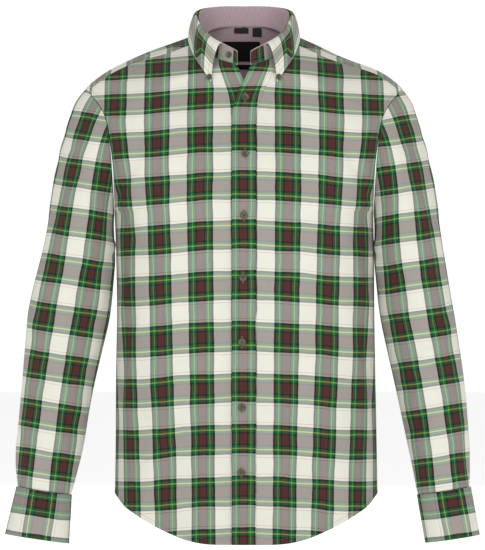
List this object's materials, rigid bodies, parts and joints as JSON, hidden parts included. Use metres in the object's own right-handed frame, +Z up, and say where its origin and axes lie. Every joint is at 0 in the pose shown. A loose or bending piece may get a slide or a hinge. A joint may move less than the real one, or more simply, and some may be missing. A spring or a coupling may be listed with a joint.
{
  "type": "long-sleeved check flannel shirt",
  "caption": "Men's long-sleeved green, maroon and cream check shirt with a button-down collar, hollow and filled out as if worn, sleeves hanging at the sides.",
  "frame": {"origin": "middle of the neck, level with the highest points of the shoulder seams, where the wearer's neck and shoulders hold the shirt", "axes": "+Z up, -Y towards the shirt's front, +X towards the wearer's left"},
  "size_m": [0.711, 0.2574, 0.8111],
  "materials": {
    "check": "brushed twill check",
    "chambray": "plain mauve chambray",
    "horn": "satin mottled horn",
    "label": "plain woven satin"
  },
  "bodies": {
    "root": {"front_right": "check", "front_left": "check", "front_band": "check", "back": "check", "yoke": "check", "yoke_lining": "chambray", "collar_stand": "check", "stand_lining": "chambray", "collar_leaf": "check", "sleeve_right": "check", "sleeve_left": "check", "slit_band_right": "check", "slit_band_left": "check", "cuff_right": "check", "cuff_left": "check", "label_main": "label", "label_strip": "label", "label_small": "label", "label_size": "label", "button_1": "horn", "button_2": "horn", "button_3": "horn", "button_4": "horn", "button_5": "horn", "button_6": "horn", "button_7": "horn", "stand_button": "horn", "point_button_right": "horn", "point_button_left": "horn", "cuff_button_right": "horn", "cuff_button_left": "horn", "slit_button_right": "horn", "slit_button_left": "horn"}
  },
  "joints": []
}
